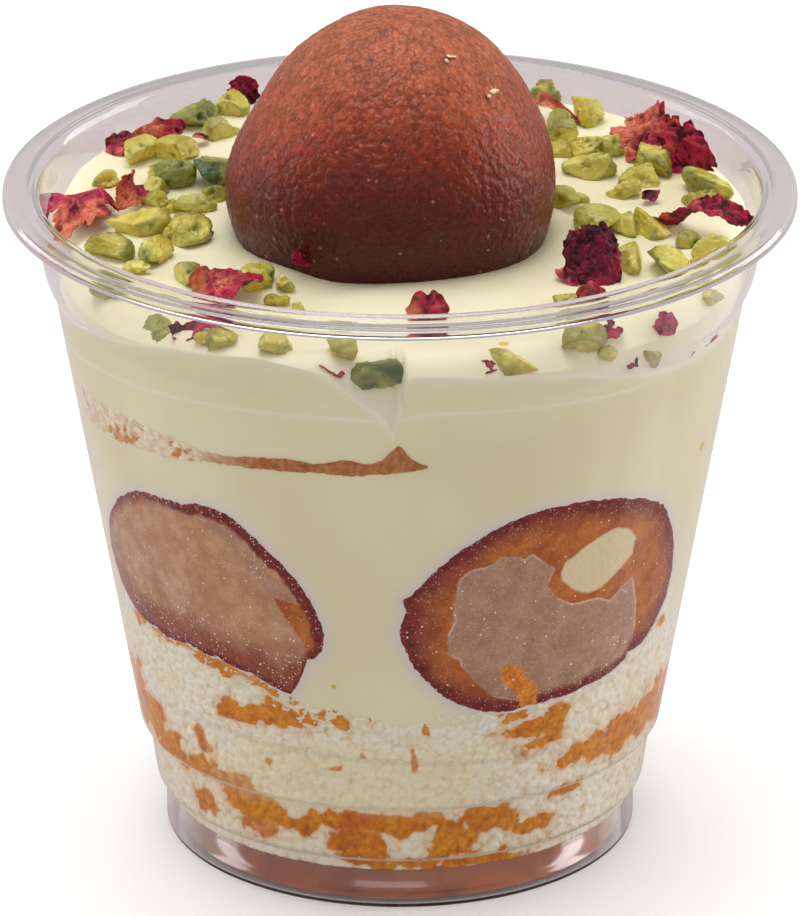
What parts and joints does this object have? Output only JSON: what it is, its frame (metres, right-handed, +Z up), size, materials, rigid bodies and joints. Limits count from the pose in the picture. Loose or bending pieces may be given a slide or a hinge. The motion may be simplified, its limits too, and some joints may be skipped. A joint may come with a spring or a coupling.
{
  "type": "gulab jamun dessert cup",
  "caption": "Clear plastic cup of layered sponge and cream with gulab jamun halves at its wall, a whole one on top, chopped pistachio and rose petals.",
  "frame": {"origin": "centre of the cup's foot, on the surface it stands on", "axes": "+Z up along the cup's axis, -Y to the front that shows the two halves"},
  "size_m": [0.0924, 0.0924, 0.1002],
  "materials": {
    "clear_plastic": "clear thermoformed plastic, glossy, with a faint grey-lavender edge at the lip",
    "sponge": "white granular sponge crumb with syrup-soaked orange-brown patches",
    "cream": "pale ivory-yellow whipped cream, satin, with a few saffron specks",
    "jamun_crumb": "moist beige to caramel crumb with a dark fried skin",
    "jamun_skin": "finely wrinkled red-brown fried skin with a thin syrup gloss",
    "rose_petal": "dried rose petal, dark magenta to salmon",
    "pistachio": "chopped pistachio, yellow-green with darker green skin"
  },
  "bodies": {
    "root": {"cup": "clear_plastic", "sponge_lower": "sponge", "sponge_upper": "sponge", "sponge_disc": "sponge", "cream_lower": "cream", "cream_top": "cream", "jamun_half_front_left": "jamun_crumb", "jamun_half_front_right": "jamun_crumb", "jamun_half_back_right": "jamun_crumb", "jamun_half_back_left": "jamun_crumb", "jamun_whole": "jamun_skin", "petal_left": "rose_petal", "petal_curled": "rose_petal", "petal_back_right": "rose_petal", "petal_long_right": "rose_petal", "petal_dark_right": "rose_petal", "petal_front_left": "rose_petal"}
  },
  "joints": []
}
